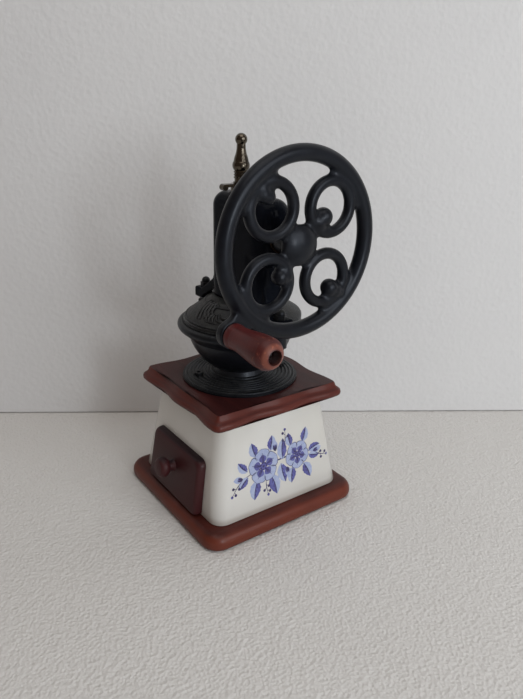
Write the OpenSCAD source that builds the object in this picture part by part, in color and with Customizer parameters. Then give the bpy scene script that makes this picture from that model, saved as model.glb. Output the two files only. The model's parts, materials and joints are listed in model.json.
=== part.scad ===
// Manual coffee grinder: a ceramic body with a drawer carries a cast bowl, a
// lid and a gear tower. The big wheel turns the burrs through a bevel gear pair.
// The origin is the centre of the base board's underside, the drawer faces -Y
// and the wheel stands on the +X side.

/* [Base board] */
// Reach of the base board past the ceramic's foot on the wheel side
base_side = 11; // [6:0.5:20]
// Reach of the base board past the ceramic's foot on the drawer side
base_front = 11.5; // [6:0.5:20]
// Thickness of the base board
base_t = 14; // [13:0.5:22]
// Radius of the base board's corners seen from above
base_corner = 15; // [8:0.5:25]
// Rounding of its upper edge
base_edge = 8; // [4:0.5:9]
// Rounding of its lower edge
base_foot_edge = 4; // [1:0.5:5]

/* [Ceramic body] */
// Height of the ceramic body
body_h = 84; // [74:1:100]
// Half width of the body at its foot
body_low = 64; // [60:0.5:67]
// How much the body narrows from foot to top on each side
body_taper = 12.5; // [8:0.5:15]
// Wall of the ceramic body
body_wall = 5; // [3:0.5:6]
// Corner radius at the foot
body_corner_low = 12; // [6:0.5:14]
// Corner radius at the top
body_corner_high = 12; // [8:0.5:16]

/* [Top board] */
// Reach of the top board past the body's top
top_over = 12; // [7:0.5:18]
// Thickness of the top board
top_t = 11.5; // [9:0.5:15]
// Depth of the waves along its sides
top_wave = 1.3; // [0:0.1:2.5]
// Corner radius of the top board
top_corner = 7; // [6.5:0.5:14]
// Width of the moulding from the edge to the flat top
top_moulding = 6; // [3:0.5:9]

/* [Drawer] */
// Room beside the drawer opening for a runner and a tie rod
drawer_side = 10.5; // [10.5:0.5:14]
// Height of the drawer opening above the base board
opening_h = 42; // [34:0.5:46]
// Lap of the drawer front over the sides of its opening
front_lap = 4.5; // [2:0.5:8]
// Lap of the drawer front over the top of its opening
front_over = 4; // [2:0.5:8]
// Thickness of the drawer front
front_t = 7; // [5:0.5:14]
// Radius of its upper corners
front_corner = 6; // [4:0.5:12]
// Depth of the drawer box behind the ceramic face
drawer_depth = 104; // [80:1:106]
// Wall of the drawer box
drawer_wall = 3; // [2:0.5:4]
// Running clearance of the drawer
drawer_gap = 0.3; // [0.2:0.05:0.5]
// Width of the runners beside the drawer
runner_w = 3; // [2:0.5:4]
// Height of the runners
runner_h = 10; // [6:1:14]
// Radius of the drawer knob's head
knob_r = 8.5; // [5:0.5:9]
// Length of the drawer knob
knob_len = 15; // [10:0.5:18]

/* [Bowl] */
// Outer radius of the bowl
bowl_r = 44; // [41:0.5:47]
// Wall of the bowl
bowl_wall = 3.5; // [2.5:0.25:4.5]
// Height of the bowl's lowest point above the flange's underside
bowl_up = 4.5; // [3:0.5:8]
// Reach of the bowl's rim past the bowl
rim_out = 7.7; // [6:0.1:10]
// Width of the rim outside the lid
rim_t = 4.5; // [4.5:0.1:6]
// Wall of the neck round the outer burr's seat
neck_wall = 4; // [3:0.5:6]
// Reach of the flange past the bowl
flange_out = 4.5; // [2:0.5:8]
// Distance of the flange screws from the flange's edge
flange_screw_in = 12.5; // [9:0.5:15]
// Direction of the flange screw that shows
flange_screw_turn = -106.6; // [-130:0.1:-80]

/* [Burrs] */
// Outer radius of the outer burr
burr_r = 17; // [15:0.5:17.5]
// Height of the outer burr
burr_h = 19; // [16:0.5:21]
// Wall of the cast cylinder round the outer burr
burr_wall = 3; // [2:0.25:4]
// Gap between the burrs at their foot
burr_gap = 0.35; // [0.2:0.05:0.6]
// Number of breaking grooves in the inner burr
burr_grooves = 7; // [5:1:9]

/* [Spindle] */
// Radius of the spindle
spindle_r = 3.5; // [3:0.1:4]
// Travel of the spindle between fine and coarse
fine_travel = 1.5; // [0.8:0.1:2]
// Radial clearance of turning parts
turn_gap = 0.05; // [0.02:0.01:0.09]
// Radius of the thrust ball
ball_r = 2.5; // [2:0.1:3]

/* [Gears] */
// Height of the wheel's axis above the lid
axis_rise = 56.7; // [52:0.1:60]
// Module of the bevel gears at their large end
gear_module = 1.4; // [1.2:0.05:1.45]
// Teeth of the drive gear on the wheel shaft
drive_teeth = 16; // [15:1:16]
// Teeth of the gear on the spindle
spindle_teeth = 12; // [12:1:13]
// Width of the gear faces along the cone
gear_face = 5; // [4:0.25:5.5]
// Share of the tooth taken away for free running
gear_backlash = 0.16; // [0.1:0.01:0.3]
// Room between the drive gear and the tower's walls
gear_room = 1.7; // [1.5:0.1:3]

/* [Lid] */
// Height of the lid above the bowl's centre
lid_rise = 20; // [18:0.5:22]
// Wall of the lid
lid_wall = 3; // [2.5:0.25:4]
// Turn of the lid door from shut to open
door_turn = 64; // [50:1:66]
// Width of the bean inlet, as an angle
inlet_turn = 58; // [40:1:60]

/* [Tower] */
// Reach of the tower to the left of the spindle
tower_left = 27; // [24:0.5:30]
// Reach of the bearing arm past the tower's foot, to the right
arm_over = 7.5; // [5:0.5:10]
// Distance that the bearing arm stays inside the studs
arm_in = 3; // [2:0.5:6]
// Height of the tower's top above the wheel's axis
tower_over = 27.3; // [25:0.1:32]
// Rounding of the tower's shoulders
shoulder_r = 11; // [6:0.5:12]
// Wall of the tower
tower_wall = 2.6; // [2:0.1:3]
// Distance of the studs from the bowl's rim
stud_out = 2.8; // [2.5:0.1:5]
// Radius of the studs
stud_r = 3; // [2.5:0.1:3.2]
// Half width of the tower's feet
foot_half = 8.5; // [7:0.5:11]

/* [Adjusting screw] */
// Radius of the adjusting screw's thread
screw_r = 5; // [4:0.1:5.5]
// Height of the finial's tip above the tower
finial_rise = 43.3; // [40:0.1:48]
// Reach of the lock nut's wings
wing_reach = 15.5; // [12:0.5:20]

/* [Wheel] */
// Radius of the wheel's rim line
wheel_r = 62.5; // [58:0.5:66]
// Half width of the rim's round section
rim_half = 6; // [4.5:0.25:7]
// Distance of the wheel's middle plane from the end of the bearing arm
wheel_out = 22; // [18:0.5:28]
// Radius of the hub
hub_r = 15; // [12:0.5:16.5]
// Half thickness of the domed hub
hub_dome = 7.5; // [6:0.5:9]
// Thickness of the bar of a scroll loop
loop_bar = 8.6; // [7:0.2:11]
// Radius of the balls that end the scrolls
ball_end_r = 7; // [5:0.1:8]
// Turn of the wheel at rest
wheel_turn = -2.5; // [-20:0.5:20]

/* [Grip] */
// Distance of the crank pin from the wheel's rim line
pin_out = 17; // [15:0.5:22]
// Radius of the lug that holds the crank pin
crank_r = 10; // [9.5:0.5:13]
// Radius of the crank pin
pin_r = 3; // [2.5:0.25:3.5]
// Length of the grip
grip_len = 48; // [40:1:60]
// Radius of the grip at its root
grip_root_r = 9; // [8:0.25:10]
// Radius of the grip at its swell
grip_swell_r = 11; // [9:0.25:13]
// Radius of the recess in its end
grip_recess_r = 5; // [4:0.25:6]

/* [Hidden] */
$fn = 48;
eps = 0.01;
seat = 0.02;
body_z = base_t;
top_z = body_z + body_h;
flange_z = top_z + top_t;
bowl_z = flange_z + bowl_up + bowl_r;
lid_top = bowl_z + lid_rise;
tower_z = lid_top;
axis_h = tower_z + axis_rise;
tower_top = axis_h + tower_over;
finial_top = tower_top + finial_rise;
base_x = 2 * (body_low + base_side);
base_y = 2 * (body_low + base_front);
body_high = body_low - body_taper;
top_half = body_high + top_over;
opening_half = body_high - body_wall - drawer_side;
front_half = opening_half + front_lap;
front_h = opening_h + front_over;
rim_r = bowl_r + rim_out;
lid_r = rim_r - rim_t;
neck_r = burr_r + neck_wall;
flange_r = bowl_r + flange_out;
flange_screw_at = flange_r - flange_screw_in;
stud_at = rim_r + stud_out;
arm_right = stud_at - arm_in;
tower_right = arm_right - arm_over;
wheel_at = arm_right + wheel_out;
pin_at = wheel_r + pin_out;
lean = (body_low - body_high) / body_h;
function face_at(z) = body_low - lean * (z - body_z);
function wall_in(z) = face_at(z) - body_wall;

// Rings of points, joined to a solid

function arc_pts(cx, cy, r, a0, a1, n) =
    [for (i = [0 : n]) [cx + r * cos(a0 + (a1 - a0) * i / n), cy + r * sin(a0 + (a1 - a0) * i / n)]];

function rounded_rect(hx, hy, r, n) = concat(
    arc_pts(hx - r, hy - r, r, 0, 90, n),
    arc_pts(r - hx, hy - r, r, 90, 180, n),
    arc_pts(r - hx, r - hy, r, 180, 270, n),
    arc_pts(hx - r, r - hy, r, 270, 360, n));

function lift(pts, z) = [for (p = pts) [p[0], p[1], z]];

module loft(rings) {
    n = len(rings[0]);
    m = len(rings);
    pts = [for (ring = rings) for (p = ring) p];
    sides = [for (k = [0 : m - 2]) for (i = [0 : n - 1]) let (j = (i + 1) % n)
        each [[k * n + i, (k + 1) * n + i, (k + 1) * n + j], [k * n + i, (k + 1) * n + j, k * n + j]]];
    low = [[for (i = [0 : n - 1]) i]];
    high = [[for (i = [0 : n - 1]) (m - 1) * n + n - 1 - i]];
    polyhedron(pts, concat(low, sides, high), convexity = 6);
}

// Base board, ceramic body and top board

rod_r = 2.5;
rod_head_r = 5;
rod_head_h = 4;
rod_room = 0.5;
rod_gap = 0.2;
box_half = opening_half - 1;
rod_at = box_half + drawer_gap + runner_w + rod_gap + rod_r;

module at_corners(d) {
    for (sx = [-1, 1])
        for (sy = [-1, 1])
            translate([sx * d, sy * d, 0]) children();
}

function base_inset(z) =
    z < base_foot_edge
        ? base_foot_edge * (1 - sqrt(1 - pow(1 - z / base_foot_edge, 2)))
        : z > base_t - base_edge
            ? base_edge * (1 - sqrt(max(0, 1 - pow((z - base_t + base_edge) / base_edge, 2))))
            : 0;

module base_board() {
    low = [for (a = [90 : -30 : 0]) base_foot_edge * (1 - sin(a))];
    high = [for (a = [0 : 15 : 90]) base_t - base_edge * (1 - sin(a))];
    color("sienna")
    difference() {
        loft([for (z = concat(low, high))
            lift(rounded_rect(base_x / 2 - base_inset(z), base_y / 2 - base_inset(z),
                base_corner - base_inset(z), 8), z)]);
        at_corners(rod_at) {
            translate([0, 0, -eps]) cylinder(r = rod_r + rod_room, h = base_t + 1);
            translate([0, 0, -eps]) cylinder(r = rod_head_r + rod_room, h = rod_head_h + 1 + eps);
        }
    }
}

function body_ring(z, inset) =
    let (t = (z - body_z) / body_h, r = body_corner_low + (body_corner_high - body_corner_low) * t)
    lift(rounded_rect(face_at(z) - inset, face_at(z) - inset, max(2, r - inset), 7), z);

module ceramic_body() {
    foot = 1.2;
    color("white")
    difference() {
        loft([
            body_ring(body_z, foot), body_ring(body_z + foot * 0.4, foot * 0.35),
            body_ring(body_z + foot, 0), body_ring(top_z, 0)]);
        loft([
            body_ring(body_z - 1, body_wall), body_ring(body_z, body_wall),
            body_ring(top_z, body_wall), body_ring(top_z + 1, body_wall)]);
        translate([-opening_half, -body_low - 2, body_z - 1])
            cube([2 * opening_half, 3 * body_wall + 4, opening_h + 1]);
    }
}

wave_len = top_half * 0.8;
function wave(s) = top_wave * (cos(360 * s / wave_len) - 1);

function top_side(h, r, n) =
    [for (i = [0 : n]) let (s = -(h - r) + 2 * (h - r) * i / n) [h + wave(s), s]];

function turn_pts(pts, a) = [for (p = pts) [p[0] * cos(a) - p[1] * sin(a), p[0] * sin(a) + p[1] * cos(a)]];

function top_ring(inset, z) =
    let (h = top_half - inset, r = top_corner - 0.8 * inset, w = wave(h - r),
        quarter = concat(top_side(h, r, 20), arc_pts(h - r, h - r, r + w, 15, 75, 4)))
    lift([for (k = [0 : 3]) each turn_pts(quarter, 90 * k)], z);

module top_board() {
    m = top_moulding;
    t = top_t;
    color("sienna")
    difference() {
        loft([
            top_ring(0.24 * m, top_z),
            top_ring(0.05 * m, top_z + 0.1 * t),
            top_ring(0, top_z + 0.26 * t),
            top_ring(0.1 * m, top_z + 0.42 * t),
            top_ring(0.34 * m, top_z + 0.52 * t),
            top_ring(0.56 * m, top_z + 0.6 * t),
            top_ring(0.76 * m, top_z + 0.74 * t),
            top_ring(0.86 * m, top_z + 0.9 * t),
            top_ring(m, top_z + t)]);
        translate([0, 0, top_z - 1]) cylinder(r = burr_r + burr_wall + 0.3, h = top_t + 2);
        at_corners(rod_at) translate([0, 0, top_z - 1]) cylinder(r = rod_r + seat, h = top_t * 0.7 + 1);
        flange_holes(flange_z - screw_grip, screw_grip + 1, flange_thread_r + seat);
    }
}

module tie_rods() {
    color("silver")
    at_corners(rod_at) {
        translate([0, 0, rod_head_h + 1]) cylinder(r = rod_r, h = top_z + top_t * 0.65 - rod_head_h - 1);
        difference() {
            translate([0, 0, 1]) cylinder(r = rod_head_r, h = rod_head_h);
            translate([-rod_head_r, -0.6, 0]) cube([2 * rod_head_r, 1.2, 2.2]);
        }
    }
}

// Drawer

box_z = body_z + drawer_gap;
box_h = opening_h - 4;
front_z = body_z + 1.5;
front_gap = 0.2;

module wedge(half, z0, z1, y_back, off) {
    rotate([90, 0, 90])
        linear_extrude(height = 2 * half, center = true)
            polygon([[y_back, z0], [-face_at(z0) - off, z0], [-face_at(z1) - off, z1], [y_back, z1]]);
}

module drawer_box() {
    back = drawer_depth - body_low;
    w = drawer_wall;
    color("burlywood")
    difference() {
        wedge(box_half, box_z, box_z + box_h, back, front_gap - eps);
        wedge(box_half - w, box_z + w, box_z + box_h + 1, back - w, -w);
        knob_axis() cylinder(r = knob_screw_r + 0.2, h = 30, center = true);
    }
}

module drawer_runners() {
    color("burlywood")
    for (sx = [-1, 1])
        translate([sx * (box_half + drawer_gap + runner_w / 2), 0, body_z + runner_h / 2])
            cube([runner_w, 2 * (body_high - 4), runner_h], center = true);
}

function front_ring(t) =
    let (u = min(1, t / front_t),
        side = 3.8 * (1 - sqrt(max(0, 1 - pow(u, 3)))),
        top = 3 * (1 - sqrt(max(0, 1 - pow(u, 3)))),
        foot = 1.2 * (1 - sqrt(max(0, 1 - pow(u, 6)))),
        z1 = front_z + front_h - top,
        z0 = front_z + foot,
        hw = front_half - side,
        r = front_corner,
        lean_w = 0.04,
        outline = concat(
            arc_pts(hw - 2, z0 + 2, 2, -90, 0, 3),
            arc_pts(hw - r - lean_w * front_h, z1 - r, r, 0, 90, 6),
            arc_pts(r + lean_w * front_h - hw, z1 - r, r, 90, 180, 6),
            arc_pts(2 - hw, z0 + 2, 2, 180, 270, 3)))
    [for (p = outline) [p[0], -face_at(p[1]) - front_gap - t, p[1]]];

module drawer_front() {
    color([0.22, 0.13, 0.12])
    difference() {
        loft([for (u = [0, 0.25, 0.5, 0.7, 0.84, 0.94, 1]) front_ring(u * front_t)]);
        knob_axis() cylinder(r = knob_screw_r + 0.2, h = 60, center = true);
    }
}

knob_z = front_z + 0.55 * front_h;
knob_screw_r = 1.8;
lean_a = atan(lean);
knob_seat = (front_gap + front_t) * cos(lean_a);

module knob_axis() {
    translate([0, -face_at(knob_z), knob_z]) rotate([90 - lean_a, 0, 0]) children();
}

module drawer_knob() {
    k = knob_r;
    l = knob_len;
    color([0.2, 0.1, 0.1])
    knob_axis() translate([0, 0, knob_seat])
    difference() {
        rotate_extrude()
            polygon(concat([[0, 0], [k * 0.62, 0], [k * 0.52, l * 0.12], [k * 0.46, l * 0.32]],
                arc_pts(k * 0.4, l * 0.66, k * 0.6, -60, 60, 8),
                [[k * 0.4, l * 0.98], [0, l]]));
        translate([0, 0, -eps]) cylinder(r = knob_screw_r + seat, h = l * 0.6);
    }
}

module knob_screw() {
    start = -drawer_wall * cos(lean_a);
    color("silver")
    knob_axis() {
        translate([0, 0, start - 1]) cylinder(r = knob_screw_r, h = knob_seat + knob_len * 0.55 - start + 1);
        translate([0, 0, start - 2]) cylinder(r = knob_screw_r * 1.9, h = 2);
    }
}

// Bowl with its flange and lugs

flange_thread_r = 2;
screw_grip = 8;
flange_pad_z = flange_z + 3;
burr_top = flange_z + 6.5;
burr_foot = burr_top - burr_h;
cyl_foot = burr_foot;
ledge_z = bowl_z - 1.5;
rim_top = bowl_z + 2;
lug_r = 5.5;
lug_out = stud_at + lug_r;
lug_rise = 7.5;
lug_top = bowl_z + lug_rise;

module flange_holes(z, h, r) {
    for (a = [0, 180])
        rotate([0, 0, flange_screw_turn + a]) translate([flange_screw_at, 0, z]) cylinder(r = r, h = h);
}

ridges = 8;
ridge_r = 1.15;
function flange_rise(q) = lookup(q, [[0.47, 6.6], [0.55, 4.6], [0.62, 4.1], [0.8, 3.2], [0.9, 2.6], [1, 2]]);

module bowl_outline() {
    f = flange_z;
    meet = bowl_z - sqrt(bowl_r * bowl_r - neck_r * neck_r);
    translate([0, f]) square([flange_r - 0.8, 2.2]);
    translate([0, f + 0.7]) square([flange_r, 0.9]);
    translate([0, f]) square([flange_r - 4, 3]);
    for (k = [0 : ridges - 1])
        let (r = flange_r * (0.94 - 0.44 * k / (ridges - 1)))
            translate([r, f + flange_rise(r / flange_r) - ridge_r * 0.25]) circle(r = ridge_r, $fn = 24);
    polygon(concat(
        [[0, f], [flange_r * 0.94, f]],
        [for (q = [0.94, 0.9, 0.8, 0.7, 0.62, 0.55, 0.5, 0.47]) [flange_r * q, f + flange_rise(q)]],
        [[neck_r, meet + 2], [0, meet + 2]]));
    intersection() {
        translate([0, bowl_z]) circle(r = bowl_r, $fn = 72);
        translate([0, meet - 1]) square([bowl_r + 1, bowl_z - meet + 1]);
    }
    translate([0, rim_top - 7]) square([rim_r - 3.5, 7]);
    translate([rim_r - 3.5, rim_top - 3.5]) circle(r = 3.5);
    polygon([[bowl_r - 2, bowl_z - 12], [rim_r - 2.2, rim_top - 6.6], [rim_r - 3.5, rim_top],
        [bowl_r - 4, rim_top]]);
}

module hopper_bowl() {
    inner = bowl_r - bowl_wall;
    throat = burr_r - 2;
    color([0.1, 0.1, 0.11])
    difference() {
        union() {
            rotate_extrude($fn = 72)
                intersection() {
                    bowl_outline();
                    translate([0, flange_z - 1]) square([80, 80]);
                }
            translate([0, 0, cyl_foot]) cylinder(r = burr_r + burr_wall, h = flange_z - cyl_foot + 1);
            for (sx = [-1, 1]) hull() {
                translate([sx * stud_at, 0, bowl_z - 6]) cylinder(r = lug_r, h = lug_rise + 6, $fn = 32);
                translate([sx * (rim_r - 6), 0, bowl_z - 7]) cylinder(r = lug_r, h = rim_top - bowl_z + 6, $fn = 32);
            }
        }
        rotate_extrude($fn = 72)
            intersection() {
                translate([0, bowl_z]) circle(r = inner, $fn = 72);
                translate([0, burr_top]) square([inner + 1, bowl_z - burr_top]);
            }
        translate([0, 0, bowl_z - eps]) cylinder(r = inner, h = 10);
        translate([0, 0, ledge_z]) cylinder(r = lid_r + 0.3, h = 10 + rim_top - ledge_z);
        translate([0, 0, burr_top - 2]) cylinder(r = throat, h = bowl_z - burr_top);
        translate([0, 0, cyl_foot - 1]) cylinder(r = burr_r + seat, h = burr_h + 1);
        translate([0, 0, bridge_z]) cylinder(r = bridge_r + 0.2, h = 12);
        flange_holes(flange_z - 1, 8, flange_thread_r + 0.2);
        flange_holes(flange_pad_z, 12, 4.2);
        for (sx = [-1, 1]) {
            translate([sx * stud_at, 0, bowl_z]) cylinder(r = stud_r + seat, h = 30);
            translate([sx * bridge_screw_at, 0, bridge_z - bridge_h + 0.5]) cylinder(r = bridge_screw_r + seat, h = bridge_h + 3);
        }
        for (a = [90, 210, 330])
            rotate([0, 0, a]) translate([burr_r - 1, 0, burr_screw_z]) rotate([0, 90, 0])
                cylinder(r = 1.5 + seat, h = 8);
    }
}

module flange_screws() {
    color([0.2, 0.2, 0.2])
    difference() {
        union() {
            flange_holes(flange_z - screw_grip + 1, screw_grip + 2, flange_thread_r);
            flange_holes(flange_pad_z, 3.2, 3.6);
        }
        for (a = [0, 180])
            rotate([0, 0, flange_screw_turn + a]) translate([flange_screw_at, 0, flange_pad_z + 1.4])
                cylinder(r = 1.75, h = 4, $fn = 6);
    }
}

// Burrs

burr_screw_z = burr_foot + 4;
ring_low = burr_r - 1.6;
ring_high = burr_r - 4.4;
cone_low = ring_low - burr_gap;
cone_high = cone_low * 0.5;

module outer_burr() {
    color([0.35, 0.35, 0.36])
    difference() {
        translate([0, 0, burr_foot]) cylinder(r = burr_r, h = burr_h);
        translate([0, 0, burr_foot - eps]) cylinder(r1 = ring_low, r2 = ring_high, h = burr_h + 2 * eps);
        translate([0, 0, burr_top - 3]) cylinder(r1 = ring_high - 1, r2 = burr_r - 1.2, h = 3 + eps);
        for (i = [0 : 23])
            rotate([0, 0, 15 * i]) translate([ring_high - 0.4, 0, burr_foot + 6])
                rotate([0, 8, 20]) rotate([0, 0, 45]) cube([1.1, 1.1, burr_h], center = false);
        for (a = [90, 210, 330])
            rotate([0, 0, a]) translate([burr_r - 0.8, 0, burr_screw_z]) rotate([0, 90, 0])
                cylinder(r = 1.5 + 0.1, h = 4);
    }
}

module burr_screws() {
    color("silver")
    for (a = [90, 210, 330])
        rotate([0, 0, a]) translate([burr_r - 0.6, 0, burr_screw_z]) rotate([0, 90, 0])
            difference() {
                cylinder(r = 1.5, h = burr_wall + 0.4);
                translate([0, 0, burr_wall - 0.8]) cylinder(r = 0.8, h = 2, $fn = 6);
            }
}

module inner_burr() {
    low = burr_foot + 0.3;
    h = burr_h - 3;
    color([0.35, 0.35, 0.36])
    difference() {
        union() {
            translate([0, 0, low]) cylinder(r1 = cone_low, r2 = cone_low - 0.5, h = 3);
            translate([0, 0, low + 3]) cylinder(r1 = cone_low - 0.5, r2 = cone_high, h = h - 3);
        }
        translate([0, 0, low - 1]) cylinder(r = spindle_r + seat, h = h + 2);
        for (i = [0 : burr_grooves - 1])
            rotate([0, 0, 360 / burr_grooves * i]) translate([cone_high * 0.9, 0, low + 3])
                rotate([0, -17, 24]) rotate([0, 0, 45]) translate([-0.5, -0.5, 0]) cube([4.4, 4.4, h]);
        for (i = [0 : 20])
            rotate([0, 0, 360 / 21 * i]) translate([cone_low - 0.8, 0, low - 1])
                rotate([0, -4, 14]) rotate([0, 0, 45]) cube([1.2, 1.2, 4.4]);
    }
}

module burr_nut() {
    color("silver")
    difference() {
        translate([0, 0, burr_foot - 4.2]) cylinder(r = 6, h = 4.4, $fn = 6);
        translate([0, 0, burr_foot - 5]) cylinder(r = spindle_r + seat, h = 6);
    }
}

// Spindle with its bearings, spring and gear

bridge_r = burr_r + 2;
bridge_ledge = 2.5;
bridge_z = bowl_z - sqrt(pow(bowl_r - bowl_wall, 2) - pow(bridge_r - bridge_ledge, 2));
bridge_h = 5;
bridge_w = 9;
bridge_boss_r = 7.5;
bridge_boss_h = 5;
bridge_screw_at = burr_r + 0.7;
bridge_screw_r = 1.25;
bridge_head_r = 2.6;
bridge_head_h = 1.6;
gear_low_z = axis_h - gear_r(drive_teeth);
spindle_top = axis_h + 12;
bush_z = tower_z;
bush_len = 12;
bush_r = 7;
spring_z = bridge_z + bridge_h + bridge_boss_h + 0.2;
collar_z = bridge_z + 24;
collar_h = 4;
collar_r = 8;

module bearing_bridge() {
    high = bridge_h + bridge_boss_h;
    color([0.15, 0.15, 0.16])
    difference() {
        intersection() {
            union() {
                translate([0, 0, bridge_z]) cylinder(r = bridge_boss_r, h = high);
                translate([-bridge_r, -bridge_w / 2, bridge_z]) cube([2 * bridge_r, bridge_w, bridge_h]);
            }
            translate([0, 0, bridge_z]) cylinder(r = bridge_r, h = high);
        }
        translate([0, 0, bridge_z - 1]) cylinder(r = spindle_r + turn_gap, h = high + 2);
        for (sx = [-1, 1])
            translate([sx * bridge_screw_at, 0, bridge_z - 1]) cylinder(r = bridge_screw_r + 0.15, h = bridge_h + 2);
    }
}

module bridge_screws() {
    color("silver")
    for (sx = [-1, 1])
        translate([sx * bridge_screw_at, 0, 0])
            difference() {
                union() {
                    translate([0, 0, bridge_z - bridge_h + 1]) cylinder(r = bridge_screw_r, h = 2 * bridge_h - 1 + eps);
                    translate([0, 0, bridge_z + bridge_h]) cylinder(r = bridge_head_r, h = bridge_head_h);
                }
                translate([-bridge_head_r - 1, -0.35, bridge_z + bridge_h + bridge_head_h / 2])
                    cube([2 * bridge_head_r + 2, 0.7, bridge_head_h]);
            }
}

module spindle() {
    low = burr_foot - 4.8;
    color("gainsboro")
    difference() {
        union() {
            translate([0, 0, low]) cylinder(r = spindle_r, h = spindle_top - low);
            translate([0, 0, collar_z]) cylinder(r = collar_r, h = collar_h);
        }
        translate([0, 0, spindle_top - ball_r * 0.6 + ball_r + 0.05]) sphere(r = ball_r + 0.05);
        translate([0, 0, gear_low_z - 5]) rotate([90, 0, 0]) cylinder(r = 1.25 + seat, h = 20, center = true);
    }
}

spring_wire = 0.7;
spring_r = 6.2;
spring_turns = 5;
spring_low = spring_z + spring_wire;
spring_high = collar_z - spring_wire - 0.3;

function spring_point(t) =
    let (a = 360 * spring_turns * t)
    [spring_r * cos(a), spring_r * sin(a), spring_low + (spring_high - spring_low) * t];

function spring_ring(t) =
    let (a = 360 * spring_turns * t, c = spring_point(t))
    [for (k = [5 : -1 : 0]) [(spring_r + spring_wire * cos(60 * k)) * cos(a),
        (spring_r + spring_wire * cos(60 * k)) * sin(a), c[2] + spring_wire * sin(60 * k)]];

spring_steps = spring_turns * 12;
spring_gap = min([for (i = [0 : spring_steps - 8]) for (j = [i + 8 : spring_steps])
    norm(spring_point(i / spring_steps) - spring_point(j / spring_steps))]) - 2 * spring_wire;
echo(spring_least_gap_to_itself = spring_gap);

module spindle_spring() {
    color("silver") loft([for (i = [0 : spring_steps]) spring_ring(i / spring_steps)]);
}

module spindle_bush() {
    color([0.72, 0.5, 0.25])
    difference() {
        union() {
            translate([0, 0, bush_z]) cylinder(r = bush_r, h = bush_len);
            translate([0, 0, bush_z + bush_len]) cylinder(r = bush_r + 2, h = 2);
        }
        translate([0, 0, bush_z - 1]) cylinder(r = spindle_r + turn_gap, h = bush_len + 4);
    }
}

// Bevel gears: all flanks run to the point where the two axes meet

function gear_r(n) = gear_module * n / 2;
cone_len = sqrt(pow(gear_r(drive_teeth), 2) + pow(gear_r(spindle_teeth), 2));
function cone_angle(n, other) = atan2(n, other);
function inv(a) = tan(a) * 180 / PI - a;

function half_tooth(n, delta, h) =
    let (nv = n / cos(delta), rv = gear_module * nv / 2, rho = rv + h,
        base = rv * cos(20), a = acos(min(1, base / rho)))
    rho * (90 / nv * (1 - gear_backlash) + inv(20) - inv(a)) * PI / 180;

function tooth_point(n, delta, h, far, sign) =
    let (cone = delta + atan(h / cone_len), r = far * tan(cone),
        a = sign * half_tooth(n, delta, h) / (cone_len * sin(cone)) * 180 / PI)
    [r * cos(a), r * sin(a)];

function gear_outline(n, delta, far) =
    let (hs = [-1.2, -0.6, 0, 0.5, 1.05])
    [for (i = [0 : n - 1]) each turn_pts(concat(
        [for (k = [0 : 4]) tooth_point(n, delta, hs[k] * gear_module, far, -1)],
        [for (k = [4 : -1 : 0]) tooth_point(n, delta, hs[k] * gear_module, far, 1)]), 360 / n * i)];

// A gear with its axis along Z and the axes' meeting point at the origin, above it

module bevel_gear(n, other, hub_len, hub_r, bore) {
    delta = cone_angle(n, other);
    r = gear_r(n);
    far = gear_r(other);
    back = far + 2.2;
    start = back + 1;
    near = (cone_len - gear_face) * cos(delta);
    out = gear_module * 0.9;
    difference() {
        union() {
            intersection() {
                translate([0, 0, -start])
                    linear_extrude(height = start - near, scale = near / start)
                        polygon(gear_outline(n, delta, start));
                rotate_extrude()
                    polygon([[0, 0], [r + out * cos(delta), 0],
                        [r + out * cos(delta), out * sin(delta) - far],
                        [r - 1.9 * cos(delta), -far - 1.9 * sin(delta)], [0, -back]]);
            }
            translate([0, 0, -far - hub_len]) cylinder(r = hub_r, h = hub_len - 0.2);
        }
        translate([0, 0, -far - hub_len - 1]) cylinder(r = bore, h = hub_len + far + 2);
    }
}

pin_hub = 9;

module spindle_gear() {
    color([0.45, 0.42, 0.36])
    difference() {
        translate([0, 0, axis_h]) rotate([0, 0, 180 / spindle_teeth])
            bevel_gear(spindle_teeth, drive_teeth, pin_hub, 6.4, spindle_r + seat);
        translate([0, 0, gear_low_z - 5]) rotate([90, 0, 0]) cylinder(r = 1.25 + seat, h = 20, center = true);
    }
}

module gear_pin() {
    color("silver")
    translate([0, 0, gear_low_z - 5]) rotate([90, 0, 0]) cylinder(r = 1.25, h = 12.4, center = true);
}

module thrust_ball() {
    color("gainsboro")
    translate([0, 0, ball_z]) sphere(r = ball_r);
}

ball_z = spindle_top + ball_r * 0.4 + 0.05;
screw_foot = ball_z + ball_r * 0.6;

// Wheel shaft with its gear, bush and washer

shaft_r = 4.5;
shaft_start = spindle_r + 2.2;
sleeve_r = 7;
bearing_in = 22;
washer_t = 1.2;

module along_x(x) {
    translate([x, 0, axis_h]) rotate([0, 90, 0]) children();
}

module drive_gear() {
    far = gear_r(spindle_teeth);
    color([0.45, 0.42, 0.36])
    translate([0, 0, axis_h]) rotate([0, -90, 0])
        bevel_gear(drive_teeth, spindle_teeth, bearing_in - washer_t - 0.4 - far, 8, shaft_r + seat);
}

module thrust_washer() {
    color("goldenrod")
    along_x(bearing_in - washer_t - 0.2)
        difference() {
            cylinder(r = 8.5, h = washer_t);
            translate([0, 0, -1]) cylinder(r = shaft_r + turn_gap, h = 4);
        }
}

module shaft_bush() {
    color([0.72, 0.5, 0.25])
    along_x(bearing_in)
        difference() {
            union() {
                cylinder(r = sleeve_r, h = arm_right - bearing_in);
                translate([0, 0, arm_right - bearing_in]) cylinder(r = sleeve_r + 2.5, h = 1.6);
            }
            translate([0, 0, -1]) cylinder(r = shaft_r + turn_gap, h = arm_right - bearing_in + 4);
        }
}

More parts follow.
